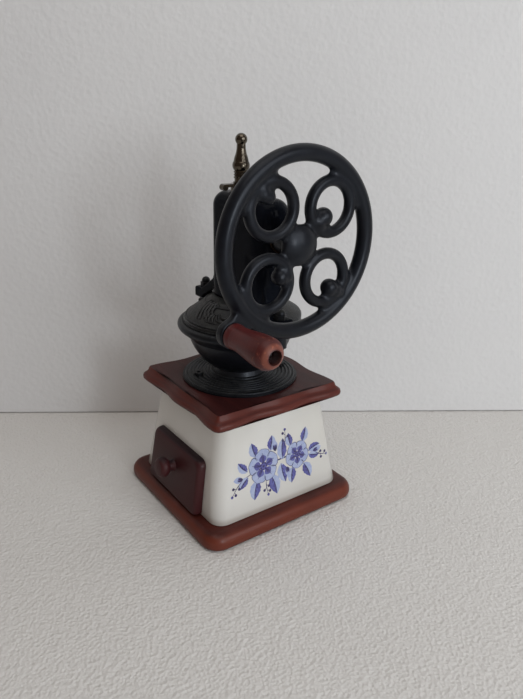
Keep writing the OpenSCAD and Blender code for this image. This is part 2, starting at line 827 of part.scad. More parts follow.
hub_back = arm_right + 1.6 + 0.4;
cap_z = hub_dome * 0.43;
cap_r = hub_r * sqrt(1 - 0.43 * 0.43);
hub_front = wheel_at + cap_z;
stub_r = 3;
stub_len = 2.6;

module wheel_shaft() {
    color("gainsboro")
    along_x(shaft_start) {
        cylinder(r = shaft_r, h = hub_front - 1 - shaft_start);
        cylinder(r = stub_r, h = hub_front + stub_len - 0.2 - shaft_start);
    }
}

// Lid with its door

lid_edge_z = rim_top + 1;
dome_flat = lid_r * 0.508;
dome_z = ((lid_r * lid_r - dome_flat * dome_flat) / (lid_top - lid_edge_z) - lid_top - lid_edge_z) / -2;
dome_r = sqrt(lid_r * lid_r + pow(lid_edge_z - dome_z, 2));
inlet_low = lid_r * 0.657;
inlet_high = lid_r * 0.89;
inlet_turn_start = 24;
guide_r = lid_r * 0.773;
guide_turn = inlet_turn_start + inlet_turn + 6;
bead_in = lid_r * 0.614;
bead_out = lid_r * 0.945;
bead_r = 0.8;
door_t = 1.6;
door_gap = 0.3;
hood_out = 3.2;
hood_r = lid_r + hood_out;
hood_edge = 4;
hood_lift = 1.4;

function dome_pts(r, r0, r1, n) =
    let (a0 = acos(r0 / r), a1 = acos(r1 / r))
    [for (p = arc_pts(0, dome_z, r, a0, a1, n)) p];

module lid_outline() {
    inner = dome_r - lid_wall;
    flat = lid_top - lid_wall;
    flat_r = sqrt(inner * inner - pow(flat - dome_z, 2));
    polygon(concat(
        [[lid_r, ledge_z], [lid_r, lid_edge_z - 0.4]],
        dome_pts(dome_r, lid_r - 0.5, dome_flat, 12),
        [[0, lid_top], [0, flat]],
        dome_pts(inner, flat_r, lid_r - lid_wall, 12),
        [[lid_r - lid_wall, ledge_z]]));
    for (r = [bead_in, bead_out])
        translate([r, dome_z + sqrt(dome_r * dome_r - r * r)]) circle(r = bead_r, $fn = 16);
}

module sector(a0, a1, r0, r1, z0, z1) {
    rotate([0, 0, a0])
        rotate_extrude(angle = a1 - a0, $fn = 96) translate([r0, z0]) square([r1 - r0, z1 - z0]);
}

module lid() {
    color([0.12, 0.12, 0.13])
    difference() {
        union() {
            rotate_extrude($fn = 96) lid_outline();
            translate([0, 0, lid_top - lid_wall - 3]) cylinder(r = 12, h = lid_wall + 2);
        }
        translate([0, 0, lid_top - 20]) cylinder(r = collar_r + 0.5, h = 30);
        sector(inlet_turn_start, inlet_turn_start + inlet_turn, inlet_low, inlet_high, ledge_z, lid_top + 5);
        sector(guide_turn - 4, guide_turn + door_turn + 4, guide_r - 2.2, guide_r + 2.2, ledge_z, lid_top + 5);
    }
}

// The door is a raised hood: it lies on the dome between two beads and laps over the lid's edge

module lid_door() {
    a0 = inlet_turn_start - 4;
    a1 = guide_turn + 6;
    beside = bead_r + door_gap;
    low_r = dome_r + door_gap;
    foot = lid_edge_z + hood_lift;
    side = hood_out * 0.25;
    high = foot + hood_edge;
    color([0.14, 0.14, 0.15])
    difference() {
        rotate([0, 0, a0])
            rotate_extrude(angle = a1 - a0, $fn = 96)
                polygon(concat(
                    dome_pts(low_r, bead_out - beside, bead_in + beside, 8),
                    dome_pts(low_r + door_t, bead_in + beside, guide_r, 4),
                    [[guide_r * 1.11, guide_top + door_t * 0.38], [hood_r - 3 * side, high + 2 * side],
                        [hood_r - side, high + 0.7 * side], [hood_r, high - side], [hood_r, foot],
                        [bead_out + beside + side, foot], [bead_out + beside, foot + door_t]],
                    [[bead_out - beside, foot + 1.2 * hood_edge]]));
        rotate([0, 0, guide_turn]) translate([guide_r, 0, ledge_z]) cylinder(r = door_screw_r + 0.1, h = 40);
    }
}

door_screw_r = 1.6;

guide_top = dome_z + sqrt(dome_r * dome_r - guide_r * guide_r);

module door_screw() {
    low = guide_top - lid_wall - 6.5;
    color("silver")
    rotate([0, 0, guide_turn]) translate([guide_r, 0, 0]) {
        translate([0, 0, low]) cylinder(r = door_screw_r, h = guide_top - low + 7);
        translate([0, 0, low - door_screw_r]) cylinder(r = 2 * door_screw_r, h = door_screw_r + eps);
    }
}

module door_knob() {
    color("goldenrod")
    rotate([0, 0, guide_turn]) translate([guide_r, 0, guide_top + 4.3])
        difference() {
            rotate_extrude()
                polygon(concat([[0, 0], [2.8, 0], [2.2, 2]], arc_pts(0, 5, 3.8, -40, 90, 8)));
            translate([0, 0, -1]) cylinder(r = door_screw_r + seat, h = 4.2);
        }
}

// Tower with its feet and studs

foot_z = lug_top;
foot_t = 9;
foot_top = foot_z + foot_t;
roof = 10;
cavity_d = gear_r(drive_teeth) + gear_room;
tower_d = cavity_d + tower_wall;
arm_low = axis_h - tower_d - 7.5;

module pill_section(d, h, r, foot_r) {
    translate([0, foot_r]) square([d, h - r - foot_r]);
    square([d - foot_r, h - r]);
    square([d - r, h]);
    translate([d - r, h - r]) circle(r = r, $fn = 64);
    if (foot_r > 0) translate([d - foot_r, foot_r]) circle(r = foot_r, $fn = 64);
}

module half_section(d, h, r, foot_r) {
    intersection() {
        pill_section(d, h, r, foot_r);
        square([d + 1, h + 1]);
    }
}

module pill(left, right, d, z, h, r, foot_r) {
    translate([0, 0, z]) {
        for (x = [d - left, right - d])
            translate([x, 0, 0]) rotate_extrude($fn = 64) half_section(d, h, r, foot_r);
        translate([d - left, 0, 0]) rotate([90, 0, 90]) linear_extrude(height = right + left - 2 * d) {
            half_section(d, h, r, foot_r);
            mirror([1, 0]) half_section(d, h, r, foot_r);
        }
    }
}

module foot_web(reach, sx) {
    z = foot_z;
    out = lug_out;
    mirror([sx < 0 ? 1 : 0, 0, 0])
    rotate([90, 0, 0])
    linear_extrude(height = 2 * foot_half, center = true)
        polygon([[reach - 6, tower_z + 0.1], [reach + (sx < 0 ? 9 : 0) - 6, tower_z + 0.1],
            [stud_at - 9, z + 4], [stud_at - 6, z], [out, z], [out, foot_top - 1], [out - 1, foot_top],
            [stud_at - 5, foot_top], [stud_at - 8, foot_top + 2], [reach + 3, tower_z + 10],
            [reach - 1, tower_z + 19], [reach - 6, tower_z + 22]]);
}

module gear_tower() {
    color([0.06, 0.06, 0.07])
    difference() {
        union() {
            pill(tower_left, tower_right, tower_d, tower_z, tower_top - tower_z, shoulder_r, 0);
            pill(tower_left, arm_right, tower_d, arm_low, tower_top - arm_low, shoulder_r, shoulder_r);
            foot_web(tower_left, -1);
            foot_web(tower_right, 1);
            translate([0, 0, tower_top - 1]) cylinder(r = 9, h = 2);
        }
        translate([0, 0, tower_z + bush_len]) cylinder(r = cavity_d, h = tower_top - roof - tower_z - bush_len);
        translate([0, -cavity_d, tower_z + bush_len])
            cube([bearing_in, 2 * cavity_d, tower_top - roof - tower_z - bush_len]);
        translate([0, 0, tower_z - 1]) cylinder(r = bush_r + seat, h = bush_len + 3);
        translate([0, 0, tower_z + bush_len - 0.1]) cylinder(r = bush_r + 2.5, h = 4);
        translate([0, 0, tower_top - roof - 1]) cylinder(r = screw_r + turn_gap, h = roof + 4);
        along_x(bearing_in - 1) cylinder(r = sleeve_r + seat, h = 60);
        for (sx = [-1, 1])
            translate([sx * stud_at, 0, foot_z - 1]) cylinder(r = stud_r + 0.2, h = 40);
    }
}

module tower_studs() {
    color("silver")
    for (sx = [-1, 1])
        translate([sx * stud_at, 0, bowl_z + 0.3]) cylinder(r = stud_r, h = foot_top - bowl_z + cap_hex_h);
}

cap_hex_r = stud_r * 1.6;
cap_hex_h = stud_r * 1.2;
cap_dome_r = stud_r * 1.23;
cap_rise = 0.8;

module cap_nuts() {
    color([0.1, 0.1, 0.1])
    for (sx = [-1, 1])
        translate([sx * stud_at, 0, foot_top])
            difference() {
                union() {
                    cylinder(r = cap_hex_r, h = cap_hex_h, $fn = 6);
                    translate([0, 0, cap_hex_h - 0.2]) cylinder(r = cap_dome_r, h = cap_rise + 0.2);
                    intersection() {
                        translate([0, 0, cap_hex_h + cap_rise]) sphere(r = cap_dome_r);
                        translate([0, 0, cap_hex_h + cap_rise - eps]) cylinder(r = cap_hex_r, h = cap_dome_r + 1);
                    }
                }
                translate([0, 0, -1]) cylinder(r = stud_r + seat, h = cap_hex_h + cap_rise + 1.2);
            }
}

// Adjusting screw with its finial, and the lock nut

nut_z = tower_top + 1;
nut_h = 7;
finial_ball = 4.6;

module finial_outline() {
    top = finial_top;
    low = screw_r - 0.8;
    polygon(concat(
        [[0, top - 30], [low, top - 30], [low, top - 28.6]],
        arc_pts(screw_r - 3.5, top - 23.4, 5.2, -55, 35, 10),
        [[screw_r + 0.3, top - 18], [screw_r - 0.2, top - 16.5], [screw_r - 0.8, top - 14.8],
            [screw_r - 1.2, top - 13], [screw_r - 1.5, top - 11], [screw_r - 1.6, top - 9],
            [screw_r - 1.7, top - 7.2], [0, top - 6]]));
    intersection() {
        translate([0, top - finial_ball]) circle(r = finial_ball);
        translate([0, top - 2 * finial_ball - 1]) square([2 * finial_ball, 2 * finial_ball + 2]);
    }
}

module adjusting_screw() {
    color("darkgoldenrod")
    difference() {
        union() {
            translate([0, 0, tower_top - roof]) cylinder(r = screw_r, h = finial_top - 29.2 - tower_top + roof);
            translate([0, 0, screw_foot - 1.4]) cylinder(r = screw_r - 0.8, h = 10);
            rotate_extrude() finial_outline();
        }
        translate([0, 0, ball_z]) sphere(r = ball_r + 0.05);
    }
}

nut_r = 8;
wing_w = 5.5;
wing_t = 2.4;
curl_r = 2.4;

module lock_nut() {
    wing_z = nut_z + nut_h - 1;
    color("goldenrod")
    difference() {
        union() {
            translate([0, 0, nut_z]) cylinder(r = nut_r, h = nut_h - 1.4);
            translate([0, 0, nut_z]) cylinder(r = nut_r - 2, h = nut_h);
            translate([-wing_w / 2, -wing_reach, wing_z - wing_t]) cube([wing_w, 2 * wing_reach, wing_t]);
            for (sy = [-1, 1])
                translate([0, sy * wing_reach, wing_z - curl_r])
                    rotate([0, 90, 0]) cylinder(r = curl_r, h = wing_w, center = true);
        }
        translate([0, 0, nut_z - 1]) cylinder(r = screw_r + turn_gap, h = nut_h + 3);
    }
}

// Wheel

loop_near = hub_r - 1.1;
loop_far = wheel_r - rim_half + 2.6;
loop_at = (loop_near + loop_far) / 2;
loop_out = (loop_far - loop_near) / 2;
loop_half = loop_bar / 2;
loop_line = loop_out - loop_half;
tie_r = 3.2;
tie_turn = 15.5;
tie_at = wheel_r - rim_half - tie_r / 3;
tie_t = 6.4;
ends = [
    [[-0.41, -0.03, 1], [-0.65, 0.02, 0.88], [-0.72, -0.12, 0.72]],
    [[0.38, -0.13, 0.8], [0.55, -0.06, 0.8], [0.7, -0.12, 0.75]],
    [[-0.47, 0.18, 0.9], [-0.62, 0.32, 0.8], [-0.7, 0.16, 0.72]],
    [[0.43, -0.07, 0.97], [0.65, 0, 0.9], [0.8, 0.08, 0.8]]];

module ring_x(line, half) {
    rotate([0, 90, 0]) rotate_extrude($fn = 96) translate([line, 0]) circle(r = half, $fn = 32);
}

// One scroll loop. Each ball of its end is told as [along, across, size], in shares of the loop

module scroll_loop(end) {
    translate([0, loop_at, 0]) {
        rotate([0, 90, 0]) rotate_extrude($fn = 72) translate([loop_line, 0]) circle(r = loop_half, $fn = 32);
        for (b = end)
            translate([0, b[0] * loop_out, b[1] * loop_out]) sphere(r = b[2] * ball_end_r);
    }
    for (a = [-1, 1])
        rotate([a * tie_turn, 0, 0]) translate([0, tie_at, 0]) sphere(r = tie_r);
    rotate([-tie_turn, 0, 0]) rotate([90, 0, 90])
        rotate_extrude(angle = 2 * tie_turn) translate([tie_at - tie_r, -tie_t / 2]) square([2 * tie_r, tie_t]);
}

lug_back = -1.5;
lug_t = 7;

module crank_lug() {
    pin_place(lug_back) cylinder(r = crank_r, h = lug_t);
    translate([wheel_at, 0, axis_h]) rotate([225 + wheel_turn, 0, 0])
        translate([lug_back + 0.6, wheel_r, -crank_r * 0.85]) cube([lug_t - 1.2, pin_out, crank_r * 1.7]);
}

module hub_outline() {
    polygon(concat(
        [[0, -0.75 * hub_dome]],
        [for (a = [asin(-0.75) : 12.5 : 25]) [hub_r * cos(a), hub_dome * sin(a)]],
        [[cap_r, cap_z], [0, cap_z]]));
}

module wheel() {
    color([0.09, 0.09, 0.1])
    difference() {
        union() {
            translate([wheel_at, 0, axis_h]) {
                ring_x(wheel_r, rim_half);
                for (k = [0 : 3])
                    rotate([45 + 90 * k + wheel_turn, 0, 0]) scroll_loop(ends[k]);
            }
            along_x(hub_back) cylinder(r = 9, h = wheel_at - hub_back);
            along_x(wheel_at) rotate_extrude($fn = 72) hub_outline();
            crank_lug();
        }
        along_x(hub_back - 1) cylinder(r = shaft_r + seat, h = 60);
        pin_place(-20) cylinder(r = pin_r + seat, h = 40);
    }
}

module pin_place(x) {
    translate([wheel_at, 0, axis_h]) rotate([225 + wheel_turn, 0, 0])
        translate([x, pin_at, 0]) rotate([0, 90, 0]) children();
}

module hub_cap() {
    rise = hub_dome - cap_z;
    ball = (cap_r * cap_r + rise * rise) / (2 * rise);
    color([0.12, 0.12, 0.13])
    along_x(hub_front)
    difference() {
        rotate_extrude($fn = 72)
            intersection() {
                translate([0, rise - ball]) circle(r = ball, $fn = 96);
                square([cap_r, rise + 1]);
            }
        translate([0, 0, -1]) cylinder(r = stub_r + seat, h = stub_len + 1);
    }
}

// Grip on its pin

grip_start = 6.2;
recess_deep = 13;
pin_head_r = 4.4;

module crank_pin() {
    long = grip_start + grip_len - recess_deep + 0.3;
    color("silver")
    pin_place(0) {
        translate([0, 0, lug_back]) cylinder(r = pin_r, h = long - lug_back);
        difference() {
            translate([0, 0, long]) cylinder(r = pin_head_r, h = 2.4);
            translate([-5, -0.6, long + 1.2]) cube([10, 1.2, 3]);
        }
    }
}

module grip() {
    g = grip_len;
    s = grip_swell_r;
    color([0.55, 0.2, 0.13])
    pin_place(grip_start)
    difference() {
        rotate_extrude($fn = 64)
            polygon(concat(
                [[0, 0], [grip_root_r - 0.6, 0], [grip_root_r, 0.8], [grip_root_r, 3]],
                [for (t = [0.12 : 0.08 : 0.76])
                    [grip_root_r - 0.5 + (s - grip_root_r + 0.5) * pow(sin(90 * (t - 0.12) / 0.64), 2), g * t]],
                arc_pts(s - 9.5, g - 10, 9.5, 10, 70, 8),
                [[0, g]]));
        translate([0, 0, -1]) cylinder(r = pin_r + turn_gap, h = g + 2);
        translate([0, 0, g - recess_deep]) cylinder(r = grip_recess_r, h = recess_deep + 1);
    }
}

base_board();
ceramic_body();
top_board();
tie_rods();
drawer_runners();
drawer_front();
drawer_box();
drawer_knob();
knob_screw();
hopper_bowl();
flange_screws();
outer_burr();
burr_screws();
inner_burr();
burr_nut();
bearing_bridge();
bridge_screws();
spindle();
spindle_spring();
spindle_bush();
spindle_gear();
gear_pin();
thrust_ball();
drive_gear();
wheel_shaft();
shaft_bush();
thrust_washer();
lid();
lid_door();
door_knob();
door_screw();
gear_tower();
tower_studs();
cap_nuts();
adjusting_screw();
lock_nut();
wheel();
hub_cap();
crank_pin();
grip();
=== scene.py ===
# %% [markdown]
# # A hand-cranked coffee mill, dressed for the camera
#
# The solids of the mill come from its CAD model and stay as they are. This lesson adds what CAD
# leaves out: the glaze with its painted garland, the stain and varnish, the black casting skin, the
# tarnished brass, the relief on the lid and the thread under the finial. Then it sets the table,
# the light and the camera.

import json
import math

import bmesh
import bpy
from mathutils import Matrix, Vector
from mathutils.bvhtree import BVHTree


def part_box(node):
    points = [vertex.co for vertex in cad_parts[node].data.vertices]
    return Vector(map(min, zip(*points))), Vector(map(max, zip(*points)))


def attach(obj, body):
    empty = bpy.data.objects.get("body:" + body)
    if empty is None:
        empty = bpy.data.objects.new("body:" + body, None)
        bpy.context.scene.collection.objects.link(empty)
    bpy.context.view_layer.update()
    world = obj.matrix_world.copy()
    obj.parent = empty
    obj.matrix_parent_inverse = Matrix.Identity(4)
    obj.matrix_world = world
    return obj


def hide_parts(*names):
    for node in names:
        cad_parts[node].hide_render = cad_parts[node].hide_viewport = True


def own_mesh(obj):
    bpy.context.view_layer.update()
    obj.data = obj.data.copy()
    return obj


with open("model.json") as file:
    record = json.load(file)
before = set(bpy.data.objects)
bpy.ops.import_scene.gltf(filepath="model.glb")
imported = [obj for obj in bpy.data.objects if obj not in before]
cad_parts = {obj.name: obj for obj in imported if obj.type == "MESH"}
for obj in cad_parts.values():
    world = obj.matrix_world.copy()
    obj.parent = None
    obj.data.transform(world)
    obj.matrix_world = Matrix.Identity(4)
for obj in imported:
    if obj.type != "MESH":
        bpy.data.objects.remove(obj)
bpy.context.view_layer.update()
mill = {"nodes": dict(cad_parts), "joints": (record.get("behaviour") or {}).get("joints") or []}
pieces = mill["nodes"]

# %% [markdown]
# ## Camera
#
# The picture was taken from the front right, a little above the wheel. A camera's place can be
# found by moving it until the corners of the model fall on the corners in the picture. That was
# done once, and the numbers are written here: where the camera stands, which way it looks, how far
# the phone was tilted, and the focal length.

# %% Camera at the picture's place
def photo_camera(place, look, roll_deg, lens):
    forward = Vector(look).normalized()
    right = forward.cross(Vector((0, 0, 1))).normalized()
    up = right.cross(forward)
    r = math.radians(roll_deg)
    x_axis = right * math.cos(r) + up * math.sin(r)
    y_axis = up * math.cos(r) - right * math.sin(r)
    data = bpy.data.cameras.new("camera")
    data.sensor_fit = "VERTICAL"
    data.sensor_height = 36
    data.lens = lens
    data.clip_start = 0.01
    camera = bpy.data.objects.new("camera", data)
    turn = Matrix((x_axis, y_axis, -forward)).transposed().to_4x4()
    camera.matrix_world = Matrix.Translation(Vector(place)) @ turn
    bpy.context.scene.collection.objects.link(camera)
    bpy.context.scene.camera = camera
    return camera


camera = photo_camera((0.4181, -0.2804, 0.3328), (-0.7522, 0.5447, -0.3707), 1.1, 33.04)
print("camera stands", round(camera.location.length, 3), "m from the mill's foot")

# %% [markdown]
# ## Sums in a shader
#
# A finish is mostly sums on sockets: a noise times a strength, one minus a mask. Written node by
# node they are hard to read. So a small class holds a socket, and adding or multiplying two of them
# lays the Math node and links it. Everything else is one call that takes the node's type, its
# settings and its sockets.

# %% A socket that can be used in sums
class Tap:
    def __init__(self, finish, socket):
        self.finish = finish
        self.socket = socket

    def sum_node(self, operation, a, b=0.0):
        return self.finish.node("ShaderNodeMath", {"operation": operation}, {0: a, 1: b})

    def __add__(self, other):
        return self.sum_node("ADD", self, other)

    def __radd__(self, other):
        return self.sum_node("ADD", other, self)

    def __sub__(self, other):
        return self.sum_node("SUBTRACT", self, other)

    def __rsub__(self, other):
        return self.sum_node("SUBTRACT", other, self)

    def __mul__(self, other):
        return self.sum_node("MULTIPLY", self, other)

    def __rmul__(self, other):
        return self.sum_node("MULTIPLY", other, self)

    def __truediv__(self, other):
        return self.sum_node("DIVIDE", self, other)

    def __pow__(self, other):
        return self.sum_node("POWER", self, other)


def srgb(code):
    """A colour as it is read off a screen, turned to the shader's linear light."""
    parts = [int(code[i:i + 2], 16) / 255 for i in (1, 3, 5)]
    return tuple(p / 12.92 if p <= 0.04045 else ((p + 0.055) / 1.055) ** 2.4 for p in parts) + (1.0,)


# %% A finish and its nodes
class Finish:
    def __init__(self, name, **uniform):
        self.material = bpy.data.materials.new(name)
        self.material.use_nodes = True
        self.tree = self.material.node_tree
        self.shader = self.tree.nodes["Principled BSDF"]
        for label, value in uniform.items():
            self.shader.inputs[label.replace("_", " ")].default_value = value
        self.place = self.node("ShaderNodeTexCoord", {}, {}, "Object")

    def node(self, kind, settings=None, sockets=None, output=0):
        n = self.tree.nodes.new(kind)
        for key, value in (settings or {}).items():
            if key == "stops":
                ramp = n.color_ramp
                while len(ramp.elements) < len(value):
                    ramp.elements.new(0.5)
                for element, (at, colour) in zip(ramp.elements, value):
                    element.position = at
                    element.color = colour
            else:
                setattr(n, key, value)
        for key, value in (sockets or {}).items():
            target = n.inputs[key]
            if isinstance(value, Tap):
                self.tree.links.new(value.socket, target)
            else:
                target.default_value = value
        return Tap(self, n.outputs[output])

    def feed(self, label, value):
        self.tree.links.new(value.socket, self.shader.inputs[label])

    def axis(self, name):
        return self.node("ShaderNodeSeparateXYZ", {}, {0: self.place}, "XYZ".index(name))

    def stretched(self, scale):
        return self.node("ShaderNodeMapping", {}, {"Vector": self.place, "Scale": scale})

    def noise(self, scale, detail=3.0, roughness=0.55, at=None, distortion=0.0):
        return self.node("ShaderNodeTexNoise", {}, {"Vector": at or self.place, "Scale": scale,
                         "Detail": detail, "Roughness": roughness, "Distortion": distortion})

    def facing_up(self):
        """1 where the surface looks up, -1 where it looks down."""
        normal = self.node("ShaderNodeNewGeometry", {}, {}, "Normal")
        return self.node("ShaderNodeSeparateXYZ", {}, {0: normal}, 2)

    def written(self, attribute):
        """A number that was written on the mesh, point by point."""
        return self.node("ShaderNodeAttribute", {"attribute_name": attribute}, {}, "Fac")

    def between(self, value, low, high):
        """0 below low, 1 above high, smooth in between."""
        return self.node("ShaderNodeMapRange", {"interpolation_type": "SMOOTHSTEP"},
                         {"Value": value, "From Min": low, "From Max": high})

    def mix(self, factor, a, b):
        n = self.tree.nodes.new("ShaderNodeMix")
        n.data_type = "RGBA"
        for socket, value in ((n.inputs[0], factor), (n.inputs[6], a), (n.inputs[7], b)):
            if isinstance(value, Tap):
                self.tree.links.new(value.socket, socket)
            else:
                socket.default_value = value
        return Tap(self, n.outputs[2])

    def bump(self, height, strength, distance):
        self.feed("Normal", self.node("ShaderNodeBump", {}, {"Height": height, "Strength": strength,
                                                             "Distance": distance}, "Normal"))


print("sums on sockets are ready")

# %% [markdown]
# ## Stained and varnished wood
#
# The base and the top board are beech, stained a red brown and varnished, so the grain hardly
# shows. Grain could be drawn plank by plank, but a noise stretched along the board gives it at any
# size, with a finer one for the pores. Faces that turn sideways, above a given height, are painted
# lighter and redder than the top: painted light, the window lighting the sides and the mouldings.
# Small nicks on those faces are lighter too. A third noise, slow and round, gives the cloudy varnish.

# %% Wood finishes
def stained_wood(name, dark, middle, light, along, lit_side_low, lit_side_high, coat=0.16, rough=0.4):
    wood = Finish(name, Coat_Roughness=0.2, Specular_IOR_Level=0.22)
    stretch = {"X": (10, 150, 150), "Y": (150, 10, 150), "Z": (150, 150, 10)}[along]
    grain = wood.noise(1.0, 6.0, 0.62, wood.stretched(stretch), 0.4)
    clouds = wood.noise(26.0, 3.0)
    pores = wood.noise(3.2, 4.0, 0.7, wood.stretched(tuple(4 * s for s in stretch)))
    nicks = wood.between(wood.noise(420.0, 2.0, 0.6), 0.66, 0.76)
    tone = grain * 0.5 + clouds * 0.5
    colour = wood.mix(wood.between(tone, 0.36, 0.66), dark, middle)
    # Painted light: above the given height, faces that turn sideways take the lighter, redder colour.
    edge = wood.between(wood.axis("Z"), lit_side_low, lit_side_high)
    side = 1 - wood.between(wood.facing_up(), 0.6, 0.99)
    colour = wood.mix(side * edge * (0.5 + 0.6 * clouds), colour, light)
    colour = wood.mix(wood.between(pores, 0.62, 0.8) * 0.35, colour, dark)
    wood.feed("Base Color", wood.mix(nicks * side * 0.25, colour, light))
    wood.feed("Roughness", rough + 0.12 * clouds + 0.06 * pores + 0.1 * nicks)
    wood.feed("Coat Weight", coat * (1.25 - 0.5 * clouds))
    wood.bump(grain * 0.5 + clouds * 0.8 + pores * 0.25 - nicks * 0.3, 0.3, 0.0006)
    return wood.material


board_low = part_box("top_board")[0].z
base_wood = stained_wood("base_stain", srgb("#3a1510"), srgb("#522119"), srgb("#6b3020"), "Y", 0.0, 0.004)
top_wood = stained_wood("top_stain", srgb("#341414"), srgb("#471d1b"), srgb("#5e281f"), "X",
                        board_low - 0.001, board_low + 0.003)
drawer_wood = stained_wood("drawer_stain", srgb("#1f0f14"), srgb("#2b161b"), srgb("#40191b"), "X",
                           0.0, 0.01, 0.1, 0.44)
print("wood finishes:", base_wood.name, top_wood.name, drawer_wood.name)

# %% Plain wood inside the drawer
def plain_wood():
    wood = Finish("box_wood")
    grain = wood.noise(1.0, 6.0, 0.6, wood.stretched((160, 12, 160)), 0.6)
    clouds = wood.noise(18.0)
    colour = wood.mix(wood.between(grain, 0.3, 0.7), srgb("#8d6741"), srgb("#b98f60"))
    wood.feed("Base Color", wood.mix(clouds * 0.3, colour, srgb("#6d4a2c")))
    wood.feed("Roughness", 0.62 + 0.15 * grain)
    wood.bump(grain, 0.4, 0.0003)
    return wood.material


box_wood = plain_wood()
print("inside the drawer:", box_wood.name)

# %% [markdown]
# ## Glazed ceramic
#
# The body is slip-cast ceramic under a soft white glaze. Glaze is glass over a dull body, so a
# clear coat over a satin white gives both the depth and the sharp window light. The slow waves of
# the casting and a few specks keep it from looking like plastic. The lowest few millimetres, where
# the ceramic meets the base, are painted darker and warmer: painted shade at the foot.

# %% Glaze
def white_glaze():
    glaze = Finish("white_glaze", Coat_Weight=0.6, Coat_Roughness=0.08, Subsurface_Weight=0.0)
    slow = glaze.noise(14.0, 2.0)
    fine = glaze.noise(260.0, 2.0)
    specks = glaze.between(glaze.noise(900.0, 1.0), 0.73, 0.8)
    colour = glaze.mix(glaze.between(slow, 0.3, 0.7), srgb("#d1cfc9"), srgb("#dbdad6"))
    # Painted shade: just above the base, the foot of the body is mixed towards a dark warm grey.
    low = 1 - glaze.between(glaze.axis("Z"), 0.016, 0.021)
    colour = glaze.mix(low * 0.45, colour, srgb("#8f8174"))
    glaze.feed("Base Color", glaze.mix(specks * 0.2, colour, srgb("#a09484")))
    glaze.feed("Roughness", 0.26 + 0.1 * slow)
    glaze.bump(slow * 1.0 + fine * 0.02, 0.12, 0.0008)
    return glaze.material


glaze = white_glaze()
print("glaze:", glaze.name)

# %% [markdown]
# ## Black castings
#
# The wheel, the bowl and the lid are iron, cast in sand and painted. The sand leaves a skin under
# the paint, a fine bump of about a third of a millimetre, which could be sculpted but is far
# quicker as noise. The wheel is satin and blue black, the gear tower is a smooth gloss that mirrors
# the window, and the lid and the flange are dull, with a grey olive bloom of coffee dust where they
# look up. The dust comes from one mask: the way the surface faces, broken up by the lumps.

# %% Casting finishes
def casting(name, colour, bloom, rough, skin, dust=0.0, coat=0.0, coat_rough=0.1, dust_colour="#5c5c56",
            gloss_tint=(0.5, 0.54, 0.63), gloss=0.4):
    paint = Finish(name, Coat_Roughness=coat_rough, Specular_IOR_Level=gloss, Specular_Tint=(*gloss_tint, 1.0))
    sand = paint.noise(1500.0, 3.0, 0.6)
    lumps = paint.noise(190.0, 3.0, 0.55)
    slow = paint.noise(30.0, 2.0)
    tone = paint.mix(paint.between(slow * 0.6 + lumps * 0.4, 0.35, 0.65), colour, bloom)
    settled = paint.between(paint.facing_up(), 0.15, 0.95)
    grey = settled * paint.between(lumps * 0.5 + sand * 0.3 + slow * 0.2, 0.36, 0.64) * dust
    paint.feed("Base Color", paint.mix(grey, tone, srgb(dust_colour)))
    paint.feed("Roughness", rough + 0.14 * lumps + 0.35 * grey)
    if coat:
        paint.feed("Coat Weight", coat * (1 - grey))
    paint.bump(sand * 0.35 + lumps * 1.0, skin, 0.0005)
    return paint.material


wheel_black = casting("wheel_black", srgb("#090a0f"), srgb("#0e1117"), 0.33, 0.14, 0.02, 0.1, 0.2, gloss=0.34)
bowl_black = casting("bowl_black", srgb("#08090d"), srgb("#101217"), 0.34, 0.22, 0.2, 0.06, 0.2)
lid_black = casting("lid_black", srgb("#0b0b0e"), srgb("#18191b"), 0.36, 1.0, 0.66, 0.12, 0.25, "#4e4e4b")
tower_black = casting("tower_black", srgb("#0f1117"), srgb("#15181f"), 0.16, 0.05, 0.0, 0.05, 0.04, gloss=0.02)
rib_black = casting("rib_black", srgb("#08080a"), srgb("#0e0e10"), 0.26, 0.5, 0.04, 0.3, 0.12, gloss_tint=(0.9, 0.92, 0.95), gloss=0.3)
nut_black = casting("nut_black", srgb("#0c0c0d"), srgb("#151515"), 0.35, 0.3, 0.25)
print("casting finishes:", wheel_black.name, bowl_black.name, lid_black.name, tower_black.name)

# %% [markdown]
# ## Brass, steel and bearing bronze
#
# The finial is brass that has gone brown. Tarnish gathers in hollows and wears off where a hand
# turns it, so a slow noise mixes bare and brown metal, and the brown parts are rougher. The parts
# that only show with the drawer or the lid door open get plainer metals.

# %% Metals
def metal(name, bare, stained, stain_amount, rough, turned=0.0, bumps=0.3):
    m = Finish(name, Metallic=1.0)
    slow = m.noise(70.0, 4.0, 0.6)
    fine = m.noise(700.0, 3.0, 0.6)
    stain = m.between(slow * 0.7 + fine * 0.3, 0.62 - 0.3 * stain_amount, 0.78 - 0.2 * stain_amount)
    m.feed("Base Color", m.mix(stain, bare, stained))
    m.feed("Roughness", rough + 0.25 * stain + 0.08 * fine)
    rings = m.noise(1.0, 3.0, 0.6, m.stretched((40, 40, 4000)))
    m.bump(fine * 0.4 + rings * turned, bumps, 0.0002)
    return m.material


aged_brass = metal("aged_brass", srgb("#5d564c"), srgb("#2b2723"), 0.4, 0.1, bumps=0.03)
washer_brass = metal("washer_brass", srgb("#4a3c28"), srgb("#221a12"), 0.5, 0.35)
bright_steel = metal("bright_steel", srgb("#b9bbbd"), srgb("#6d6b67"), 0.2, 0.25, 0.6)
dark_steel = metal("dark_steel", srgb("#4c4a47"), srgb("#1d1b19"), 0.6, 0.35)
bronze = metal("bearing_bronze", srgb("#4a3626"), srgb("#1f1712"), 0.6, 0.4, 0.4)
burr_iron = metal("burr_iron", srgb("#7b7b7c"), srgb("#3c3733"), 0.5, 0.45)
print("metals:", aged_brass.name, bright_steel.name, bronze.name, burr_iron.name)

